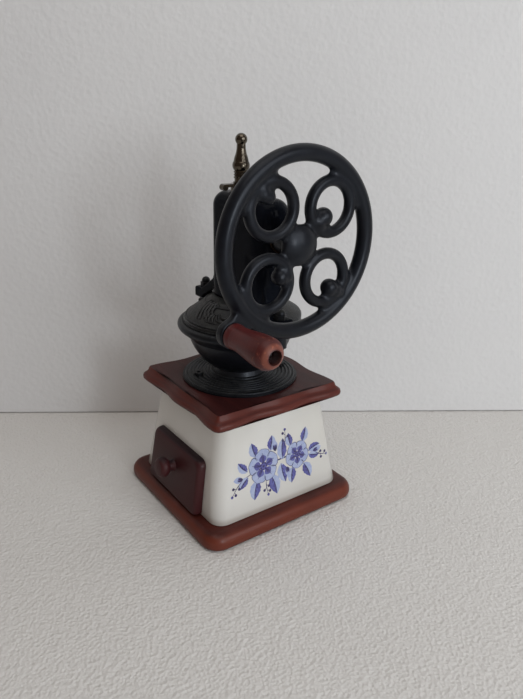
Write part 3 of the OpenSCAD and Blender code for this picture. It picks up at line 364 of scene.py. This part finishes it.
# %% [markdown]
# ## The lacquered grip
#
# The grip is turned wood under red-brown lacquer. It is lighter and scuffed at the swell where the
# palm rubs. Inside the recess at its end the colour is painted dark: painted shade in the hollow.

# %% Grip lacquer
pin_x, pin_y, pin_z = mill["joints"][[j["name"] for j in mill["joints"]].index("grip_spin")]["pos_m"]


def grip_lacquer():
    lacquer = Finish("grip_lacquer", Coat_Roughness=0.3, Specular_IOR_Level=0.3)
    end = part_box("grip")[1].x
    grain = lacquer.noise(1.0, 5.0, 0.6, lacquer.stretched((30, 420, 420)), 0.3)
    slow = lacquer.noise(60.0, 3.0)
    scuffs = lacquer.between(lacquer.noise(330.0, 4.0, 0.7), 0.56, 0.72)
    x, y, z = lacquer.axis("X"), lacquer.axis("Y"), lacquer.axis("Z")
    off = ((y - pin_y) ** 2 + (z - pin_z) ** 2) ** 0.5
    colour = lacquer.mix(lacquer.between(grain * 0.5 + slow * 0.5, 0.35, 0.65), srgb("#481416"), srgb("#5c1d1b"))
    swell = lacquer.between(x, end - 0.022, end - 0.004)
    colour = lacquer.mix(swell * (0.5 + 0.4 * slow), colour, srgb("#451a18"))
    rub = lacquer.between(x, end - 0.0035, end - 0.0015) * (1 - lacquer.between(x, end - 0.0006, end))
    colour = lacquer.mix(rub * 0.3, colour, srgb("#b06a52"))
    colour = lacquer.mix(swell * scuffs * 0.7, colour, srgb("#a8634c"))
    # Painted shade: inside the recess, within the pin's radius, the colour is mixed towards a dark brown.
    inside = 1 - lacquer.between(off, 0.0049, 0.0053)
    lacquer.feed("Base Color", lacquer.mix(inside * 0.85, colour, srgb("#2c1310")))
    lacquer.feed("Roughness", 0.42 + 0.12 * slow + 0.2 * scuffs * swell)
    lacquer.feed("Coat Weight", 0.12 * (1 - scuffs * swell))
    lacquer.bump(grain * 0.4 + scuffs * swell * -0.6, 0.3, 0.0003)
    return lacquer.material


grip_red = grip_lacquer()
print("grip:", grip_red.name)

# %% [markdown]
# ## Each solid gets its finish
#
# One table pairs the solids with their finishes, so a finish is changed in one place.

# %% Finish of each solid
finish_of = {
    base_wood: ["base_board"],
    top_wood: ["top_board"],
    drawer_wood: ["drawer_front", "drawer_knob"],
    box_wood: ["drawer_box", "drawer_runners"],
    glaze: ["ceramic_body"],
    wheel_black: ["wheel", "hub_cap"],
    bowl_black: ["hopper_bowl", "bearing_bridge"],
    lid_black: ["lid", "lid_door"],
    tower_black: ["gear_tower"],
    nut_black: ["cap_nuts", "flange_screws", "door_knob"],
    aged_brass: ["adjusting_screw", "lock_nut"],
    washer_brass: ["thrust_washer"],
    bright_steel: ["tie_rods", "knob_screw", "burr_screws", "burr_nut", "bridge_screws", "spindle",
                   "spindle_spring", "gear_pin", "thrust_ball", "wheel_shaft", "tower_studs", "crank_pin"],
    dark_steel: ["door_screw"],
    bronze: ["spindle_bush", "shaft_bush"],
    burr_iron: ["outer_burr", "inner_burr", "spindle_gear", "drive_gear"],
    grip_red: ["grip"],
}
for material, names in finish_of.items():
    for name in names:
        mesh = pieces[name].data
        mesh.materials.clear()
        mesh.materials.append(material)
print("solids with a finish:", sum(len(v) for v in finish_of.values()), "of", len(pieces))

# %% [markdown]
# ## The spring round the spindle
#
# A spring round the spindle lifts the inner burr against the adjusting screw. When the screw goes
# down by its travel, the wound wire is pressed together by as much. Its lower end sits on the bridge
# and stays. Here the piece is a copy of the coil, with its own shape, tied to the frame in its place.

# %% Copy of the spring
wire = pieces["spindle_spring"].data.copy()
wire.transform(pieces["spindle_spring"].matrix_world)
pressed_coil = bpy.data.objects.new("pressed_coil", wire)
bpy.context.scene.collection.objects.link(pressed_coil)
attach(pressed_coil, "frame")
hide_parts("spindle_spring")
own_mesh(pressed_coil)

# %% [markdown]
# ## Soft corners on the castings
#
# In CAD the scrolls, webs and hub of the wheel meet in sharp inside corners. A sand mould can't
# hold such a corner, so on the real casting every joint flows. The corners could be filleted one by
# one in CAD, at a great cost in faces. Here the wheel is turned into an even net of small squares
# (Remesh), blown up by a millimetre or two, netted again and let down by as much (Displace). What
# was a sharp inside corner is bridged when the casting is fat, and stays filled when it is thin.
# A few rounds of Smooth finish it. The solid itself stays as it is.

# %% Fill the inside corners
def net(node, square):
    remesh = pieces[node].modifiers.new("even net", "REMESH")
    remesh.mode = "VOXEL"
    remesh.voxel_size = square
    remesh.use_smooth_shade = True


def blow(node, by):
    displace = pieces[node].modifiers.new("blow", "DISPLACE")
    displace.strength = by
    displace.mid_level = 0.0


def soften(node, square, fill, rounds):
    net(node, square)
    if fill:
        blow(node, fill)
        net(node, square)
        blow(node, -fill)
        net(node, square)
    smooth = pieces[node].modifiers.new("flowing corners", "SMOOTH")
    smooth.factor = 0.5
    smooth.iterations = rounds


soften("wheel", 0.00075, 0.0016, 8)
soften("gear_tower", 0.0008, 0, 8)
print("softened: wheel, gear_tower")

# %% [markdown]
# ## Even shading on the boards and the glaze
#
# The corners of the boards and of the ceramic come as narrow flat strips, and gloss shows each
# strip. The strips could be made finer, but shading does it for free: the corners of neighbouring
# faces are welded and shaded as one curve, and only where two faces meet at a real edge is the net
# split again, so that this edge stays crisp.

# %% Weld, split at real edges, shade smooth
def even_shading(node, degrees=34):
    piece = pieces[node]
    weld = piece.modifiers.new("weld", "WELD")
    weld.merge_threshold = 0.00001
    split = piece.modifiers.new("real edges", "EDGE_SPLIT")
    split.split_angle = math.radians(degrees)
    for face in piece.data.polygons:
        face.use_smooth = True


for node in ("base_board", "top_board", "ceramic_body", "drawer_front"):
    even_shading(node)
print("even shading on the boards, the drawer front and the ceramic")

# %% [markdown]
# ## Finding the surface
#
# Relief and paint lie on surfaces that are already there. Their points could be worked out from the
# CAD sizes, but then each form needs its own sum. A ray that is shot at the solid gives the point
# that it hits and the direction of the surface, for any form, so the relief always sits down on it.

# %% Shoot a ray at a solid
def surface_of(node):
    mesh = pieces[node].data
    return BVHTree.FromPolygons([v.co for v in mesh.vertices], [p.vertices for p in mesh.polygons])


def hit(surface, start, direction):
    point, normal, index, distance = surface.ray_cast(Vector(start), Vector(direction))
    if point is None:
        raise ValueError("the ray from %s finds no surface" % (start,))
    return point, normal


def make_piece(name, work, material, body, smooth=True):
    mesh = bpy.data.meshes.new(name)
    bmesh.ops.recalc_face_normals(work, faces=work.faces)
    work.to_mesh(mesh)
    work.free()
    mesh.materials.append(material)
    for face in mesh.polygons:
        face.use_smooth = smooth
    piece = bpy.data.objects.new(name, mesh)
    bpy.context.scene.collection.objects.link(piece)
    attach(piece, body)
    return piece


print("rays and pieces are ready")

# %% A round bead along a path
def add_bead(work, path, radius_at, sides=10):
    """The bead is a tube whose radius may change along the path, closed at both ends."""
    rings = []
    across = None
    for i, point in enumerate(path):
        ahead = (path[min(i + 1, len(path) - 1)] - path[max(i - 1, 0)]).normalized()
        if across is None:
            across = ahead.orthogonal().normalized()
        across = (across - ahead * across.dot(ahead)).normalized()
        over = ahead.cross(across)
        r = radius_at(i / (len(path) - 1))
        rings.append([work.verts.new(point + r * (across * math.cos(a) + over * math.sin(a)))
                      for a in (2 * math.pi * k / sides for k in range(sides))])
    for low, high in zip(rings, rings[1:]):
        for k in range(sides):
            work.faces.new((low[k], low[(k + 1) % sides], high[(k + 1) % sides], high[k]))
    work.faces.new(rings[0][::-1])
    work.faces.new(rings[-1])


def leaf_swell(t):
    """Thin at both ends, full in the middle."""
    return max(0.08, math.sin(math.pi * min(max(t, 0.0), 1.0)) ** 0.6)


print("beads are ready")

# %% [markdown]
# ## The shell on the lid
#
# The front of the lid is cast with curved ribs, one inside the other, and small leaves beside them, a
# stock ornament on mills of this kind. The ribs could be a height map in the shader, but they show
# against the light, so they are real beads. They bend round one point, the heart of the shell. A ray
# from above drops every point onto the dome, a little sunk, so the ribs grow out of the casting.

# %% Ribs of the shell
def on_lid(lid, radius_mm, degrees, sunk=0.0):
    a = math.radians(degrees)
    point, normal = hit(lid, (radius_mm * math.cos(a) / 1000, radius_mm * math.sin(a) / 1000, 0.3), (0, 0, -1))
    return point - normal * sunk


lid_top = surface_of("lid")
shell = bmesh.new()
heart = Vector((0.0126, -0.0283))


def arc_on_lid(centre, radius, start, end, steps=18):
    """Points of an arc, drawn on the dome from above; what would leave the dome is held at its edge."""
    points = []
    for k in range(steps + 1):
        a = math.radians(start + (end - start) * k / steps)
        x, y = centre.x + radius * math.cos(a), centre.y + radius * math.sin(a)
        far = math.hypot(x, y)
        hold = min(max(far, 0.0248), 0.0412) / far
        point, normal = hit(lid_top, (x * hold, y * hold, 0.3), (0, 0, -1))
        points.append(point)
    return points


for ring, (start, end) in enumerate(((140, 262), (146, 256), (150, 246), (152, 238), (156, 230))):
    add_bead(shell, arc_on_lid(heart, 0.0052 + 0.0033 * ring, start, end),
             lambda t: 0.0015 * leaf_swell(0.08 + 0.84 * t), 8)
for rib in range(6):
    a = math.radians(-118 + 26 * rib)
    tip = heart + Vector((math.cos(a), math.sin(a))) * 0.0112
    add_bead(shell, arc_on_lid(heart.lerp(tip, 0.62), 0.0042, math.degrees(a) - 150, math.degrees(a) + 10, 10),
             lambda t: 0.0011 * leaf_swell(0.1 + 0.8 * t), 8)
lip = [on_lid(lid_top, 46.0, -134 + 88 * t, 0.0002) for t in (k / 60 for k in range(61))]
add_bead(shell, lip, lambda t: 0.001 * max(0.2, leaf_swell(t)), 8)
make_piece("lid_shell", shell, rib_black, "frame")
print("shell ribs and lip on the lid")

# %% Boss and rim bead of the lid
boss = bmesh.new()
bmesh.ops.create_uvsphere(boss, u_segments=20, v_segments=12, radius=0.0024,
                          matrix=Matrix.Translation(on_lid(lid_top, 34, -139, 0.0004)))
make_piece("lid_boss", boss, rib_black, "frame")
edge_bead = bmesh.new()
path = [on_lid(lid_top, 38 + 8.0 * t, -3 + 25 * t ** 0.9, 0.0002) for t in (k / 24 for k in range(25))]
add_bead(edge_bead, path, lambda t: 0.0009 * max(0.25, leaf_swell(0.06 + 0.88 * t)), 8)
make_piece("lid_edge_bead", edge_bead, lid_black, "frame")
print("boss and edge bead on the lid")

# %% [markdown]
# ## The thread under the finial
#
# The adjusting screw is a plain bar in CAD. Its thread shows for a few millimetres between the lock
# nut and the finial, and a hand turns it, so it is worth making. A thread is one ridge that climbs
# round the bar: a bead swept along a helix, two millimetres up for each turn.

# %% Ridge of the thread
nut_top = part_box("lock_nut")[1].z


def finial_foot(screw):
    """Climbs beside the bar until a ray from outside meets the wider foot of the finial."""
    z = nut_top + 0.002
    while z < nut_top + 0.02:
        point, normal = hit(screw, (0.05, 0, z), (-1, 0, 0))
        if point.x > 0.0055:
            return z
        z += 0.0002
    return z


bar = surface_of("adjusting_screw")
foot_z = finial_foot(bar)
bar_r = hit(bar, (0.05, 0, nut_top + 0.001), (-1, 0, 0))[0].x
ridge = bmesh.new()
low_z, high_z, pitch = nut_top + 0.0018, foot_z - 0.0002, 0.002
turns = (high_z - low_z) / pitch
path = [Vector((bar_r * math.cos(a), bar_r * math.sin(a), low_z + pitch * a / (2 * math.pi)))
        for a in (2 * math.pi * turns * k / 90 for k in range(91))]
add_bead(ridge, path, lambda t: 0.0008 * min(1.0, 12 * t + 0.1, 12 * (1 - t) + 0.1), 6)
make_piece("screw_thread", ridge, aged_brass, "adjuster", False)
print("thread from", round(low_z, 4), "to", round(high_z, 4), "m,", round(turns, 1), "turns")

# %% [markdown]
# ## A painted garland
#
# The right face of the ceramic carries a blue and violet garland, printed on the glaze. It could be
# a shader pattern, but petals drawn with sums are hard to place and to change. Here each petal,
# leaf and stroke is a thin patch of its own, in millimetres on the face: y to the right and z up.
# A ray then lays every corner on the ceramic, a few hundredths of a millimetre proud, and what is
# painted later lies a step higher. The flowers are plain five-petal blossoms on a branch.

# %% Three paints
def paint(name, thin, full):
    ink = Finish(name, Coat_Weight=0.5, Coat_Roughness=0.1)
    pooled = ink.noise(520.0, 3.0, 0.6) * 0.6 + ink.noise(120.0, 2.0) * 0.4
    ink.feed("Base Color", ink.mix(ink.between(pooled, 0.35, 0.65), thin, full))
    ink.feed("Roughness", 0.3 + 0.12 * pooled)
    return ink.material


paints = {"pale": paint("pale_blue", srgb("#abb6d3"), srgb("#97a3ca")),
          "mid": paint("mid_blue", srgb("#5f63a6"), srgb("#4a4688")),
          "deep": paint("deep_violet", srgb("#372d68"), srgb("#241d49"))}
print("paints:", list(paints))

# %% Patches on the face
sheets = {name: bmesh.new() for name in paints}
ceramic = surface_of("ceramic_body")
step_of = {"pale": 0.0, "mid": 0.00001, "deep": 0.00002}
layer = {"now": 0}


def lay(colour, outline):
    """One closed patch from its outline, a list of (y, z) in millimetres."""
    work = sheets[colour]
    corners = []
    for y, z in outline:
        point, normal = hit(ceramic, (0.2, y / 1000, z / 1000), (-1, 0, 0))
        corners.append(work.verts.new(point + normal * (0.00004 + 0.00003 * layer["now"] + step_of[colour])))
    work.faces.new(corners)


def stroke(colour, points, width):
    """A brush stroke: a ribbon that swells in the middle and ends in points."""
    left, right = [], []
    for i, (y, z) in enumerate(points):
        y0, z0 = points[max(i - 1, 0)]
        y1, z1 = points[min(i + 1, len(points) - 1)]
        long = math.hypot(y1 - y0, z1 - z0)
        half = 0.5 * width * (0.25 + 0.75 * math.sin(math.pi * (i + 0.4) / len(points)))
        across = (-(z1 - z0) / long * half, (y1 - y0) / long * half)
        left.append((y + across[0], z + across[1]))
        right.append((y - across[0], z - across[1]))
    for i in range(len(points) - 1):
        lay(colour, [left[i], left[i + 1], right[i + 1], right[i]])


def bend(start, angle, length, curl, steps=8):
    """Points of a curve that sets off at an angle and turns by curl degrees on its way."""
    y, z = start
    points = [start]
    for k in range(steps):
        a = math.radians(angle + curl * (k + 0.5) / steps)
        y, z = y + length / steps * math.cos(a), z + length / steps * math.sin(a)
        points.append((y, z))
    return points


print("patches and strokes are ready")

# %% Leaf and petal
def blade(colour, spine, width, fullest=0.45, notch=0.0):
    """A leaf or petal laid as strips along its spine, widest at the fullest place."""
    def half(t):
        rise = (t / fullest) if t < fullest else (1 - t) / (1 - fullest)
        return 0.5 * width * max(0.02, math.sin(0.5 * math.pi * min(rise, 1.0)) ** 0.8)
    last = len(spine) - 1
    sides = []
    for i, (y, z) in enumerate(spine):
        y0, z0 = spine[max(i - 1, 0)]
        y1, z1 = spine[min(i + 1, last)]
        long = math.hypot(y1 - y0, z1 - z0)
        h = half(i / last) * (1 + notch * (i % 2))
        sides.append(((y - (z1 - z0) / long * h, z + (y1 - y0) / long * h),
                      (y + (z1 - z0) / long * h, z - (y1 - y0) / long * h)))
    for (a, b), (c, d) in zip(sides, sides[1:]):
        lay(colour, [a, c, d, b])
    return sides


def leaf(start, angle, length, width, curl=25, dark_side=0):
    spine = bend(start, angle, length, curl, 9)
    sides = blade("pale", spine, width, 0.42, 0.12)
    for i in range(1, len(spine) - 1):
        lay("mid", [spine[i], spine[i + 1], sides[i + 1][dark_side], sides[i][dark_side]])
    stroke("deep", spine, 0.9)
    turn = 38 if dark_side == 0 else -38
    for i in (2, 4, 6):
        ahead = math.degrees(math.atan2(spine[i + 1][1] - spine[i][1], spine[i + 1][0] - spine[i][0]))
        stroke("deep", bend(spine[i], ahead + turn, width * 0.34, -turn * 0.4, 4), 0.6)


def petal(middle, angle, length, width):
    a = math.radians(angle)
    start = (middle[0] + 0.18 * length * math.cos(a), middle[1] + 0.18 * length * math.sin(a))
    sides = blade("pale", bend(start, angle, length * 0.85, 6, 9), width, 0.66)
    blade("mid", bend(start, angle, length * 0.5, 4, 6), width * 0.52, 0.5)
    for lean, reach in ((-14, 0.5), (0, 0.62), (14, 0.5)):
        stroke("deep", bend(start, angle + lean, length * reach, -lean * 0.6, 5), 0.55)
    for side in (0, 1):
        stroke("deep", [pair[side] for pair in sides[3:]], 0.5)


print("leaf and petal are ready")

# %% Blossom, bud and berries
def disc(colour, middle, radius, corners=14):
    lay(colour, [(middle[0] + radius * math.cos(2 * math.pi * k / corners),
                  middle[1] + radius * math.sin(2 * math.pi * k / corners)) for k in range(corners)])


def blossom(middle, radius, turn):
    for k in range(5):
        petal(middle, turn + 72 * k, radius, radius * 0.98)
    disc("mid", middle, radius * 0.24)
    for k in range(7):
        a = 2 * math.pi * k / 7
        disc("deep", (middle[0] + radius * 0.2 * math.cos(a), middle[1] + radius * 0.2 * math.sin(a)), radius * 0.055, 8)
    disc("deep", middle, radius * 0.07, 8)


def bud(start, angle, size):
    blade("pale", bend(start, angle, size, 10, 7), size * 0.62, 0.5)
    for lean in (-24, 0, 24):
        blade("deep" if lean else "mid", bend(start, angle + lean, size * 0.62, -lean, 5), size * 0.2, 0.4)


def sprig(start, angle, length, curl):
    stem = bend(start, angle, length, curl, 8)
    stroke("deep", stem, 0.7)
    for i, side in ((3, 1), (5, -1), (7, 1), (8, 0)):
        ahead = math.degrees(math.atan2(stem[i][1] - stem[i - 1][1], stem[i][0] - stem[i - 1][0]))
        stalk = bend(stem[i], ahead + 55 * side, 3.0, 0, 3)
        stroke("deep", stalk, 0.5)
        disc("deep" if side else "mid", stalk[-1], 1.25, 10)


print("blossom, bud and berries are ready")

# %% Paint the garland
stroke("deep", bend((-37, 47.5), 16, 77, -26, 20), 1.2)
layer["now"] = 1
for y, z, angle, length, width, curl, side in (
        (-22, 43, -118, 17, 10, 25, 0), (-9, 43, -62, 19, 10.5, -25, 1), (-22, 63, 118, 13, 8, -25, 1),
        (-8, 64, 66, 13, 8, 25, 0), (2, 50, -88, 18, 9.5, 20, 0), (4, 53, 98, 18, 9, -25, 1),
        (14, 43, -112, 14, 8.5, 25, 0), (25, 43, -52, 16, 9, -25, 1), (13, 62, 112, 12, 7, -25, 1),
        (25, 62, 58, 13, 7.5, 25, 0), (-31, 48, -152, 12, 7, 30, 0), (-31, 53, 146, 13, 7, -30, 1),
        (31, 52, 24, 13, 7, -20, 0), (31, 49, -24, 12, 6.5, 20, 1)):
    leaf((y, z), angle, length, width, curl, side)
layer["now"] = 2
for start, angle, size in (((-36, 48), 168, 9), ((36, 50.5), 8, 9), ((-3, 62), 92, 10), ((8, 45), -84, 9)):
    bud(start, angle, size)
sprig((-37, 47), 214, 12, 20)
sprig((38, 49), -38, 11, 25)
sprig((6, 62), 72, 13, 20)
sprig((-14, 40), -96, 10, 20)
layer["now"] = 3
blossom((-15.5, 53.0), 14.5, 20)
layer["now"] = 4
blossom((19.0, 52.5), 12.0, 52)
for colour, work in sheets.items():
    make_piece("garland_" + colour, work, paints[colour], "frame", False)

# %% [markdown]
# ## The table and the wall
#
# The mill stands on a pale sheet against a pale wall. Both are stage, not part of the mill. They
# get the slight bead pattern of pressed foam. The wall's lower edge slopes back, which leaves a thin
# dark line where the two meet. Seen from its back, the wall is clear, so the mill shows from all sides. The line where they meet was found in the picture.

# %% Floor and wall
def foam(name, colour, shade, beads_per_m, depth):
    f = Finish(name, Roughness=0.8)
    beads = f.node("ShaderNodeTexVoronoi", {"feature": "F1"}, {"Vector": f.place, "Scale": beads_per_m}, "Distance")
    slow = f.noise(7.0, 4.0)
    fine = f.noise(160.0, 4.0, 0.65)
    f.feed("Base Color", f.mix(slow * 0.7 + fine * 0.3, colour, shade))
    f.bump(beads * 0.6 + fine, depth, 0.0012)
    f.feed("Alpha", 1 - f.node("ShaderNodeNewGeometry", {}, {}, "Backfacing"))
    return f.material


def sheet_of_foam(name, corners, material, faces=((0, 1, 2, 3),)):
    mesh = bpy.data.meshes.new(name)
    mesh.from_pydata([Vector(c) for c in corners], [], faces)
    sheet = bpy.data.objects.new(name, mesh)
    mesh.materials.append(material)
    bpy.context.scene.collection.objects.link(sheet)
    return sheet


left, right = Vector((-0.2605, -0.1438, 0)), Vector((0.0608, 0.3501, 0))
along = (right - left).normalized()
toward_camera = Vector((along.y, -along.x, 0))
ends = left - along * 2.5, right + along * 2.5
behind = toward_camera * -0.01
rear = toward_camera * -4
floor = sheet_of_foam("floor", [ends[0] + toward_camera * 4, ends[1] + toward_camera * 4, ends[1] + rear,
                                ends[0] + rear],
                      foam("foam_floor", srgb("#dedddb"), srgb("#d2d0cd"), 420.0, 0.75))
edge, top = Vector((0, 0, 0.0013)), Vector((0, 0, 3))
wall = sheet_of_foam("wall", [ends[0] + edge, ends[1] + edge, ends[1] + top, ends[0] + top, ends[0] + behind,
                              ends[1] + behind],
                     foam("foam_wall", srgb("#dfdfdf"), srgb("#d5d5d6"), 190.0, 0.4), ((0, 1, 2, 3), (4, 5, 1, 0)))
print("stage:", floor.name, "and", wall.name)

# %% [markdown]
# ## Light
#
# The highlights on the balls of the wheel say where the window was: low and behind the camera, on
# the side of the wheel. A wide lamp gives the soft daylight from there, and a small tall one, a pane
# of the window, gives the sharp streaks in the gloss. Both are slightly blue. The room fills the
# rest with a weak warm grey, so the side away from the window is three times darker.

# %% Lamps and world
def soft_lamp(name, azimuth, elevation, distance, wide, high, power, colour=(1, 1, 1)):
    a, e = math.radians(azimuth), math.radians(elevation)
    data = bpy.data.lights.new(name, "AREA")
    data.shape = "RECTANGLE"
    data.size = wide
    data.size_y = high
    data.energy = power
    data.color = colour
    lamp = bpy.data.objects.new(name, data)
    aim = Vector((0, 0, 0.15))
    away = Vector((math.cos(e) * math.cos(a), math.cos(e) * math.sin(a), math.sin(e)))
    lamp.location = aim + away * distance
    lamp.rotation_euler = away.to_track_quat("Z", "Y").to_euler()
    bpy.context.scene.collection.objects.link(lamp)
    return lamp


soft_lamp("window", 8, 20, 1.6, 1.3, 1.0, 11.8, (0.93, 0.97, 1.0))
soft_lamp("window_pane", -4, 9, 1.4, 0.12, 0.42, 2.8, (0.9, 0.96, 1.0))
soft_lamp("ceiling", -20, 75, 1.8, 1.4, 1.4, 9.0, (1.0, 0.98, 0.95))
world = bpy.data.worlds.new("room")
world.use_nodes = True
world.node_tree.nodes["Background"].inputs["Color"].default_value = srgb("#ecd5c6")
world.node_tree.nodes["Background"].inputs["Strength"].default_value = 0.2
bpy.context.scene.world = world
bpy.context.scene.view_settings.view_transform = "Standard"
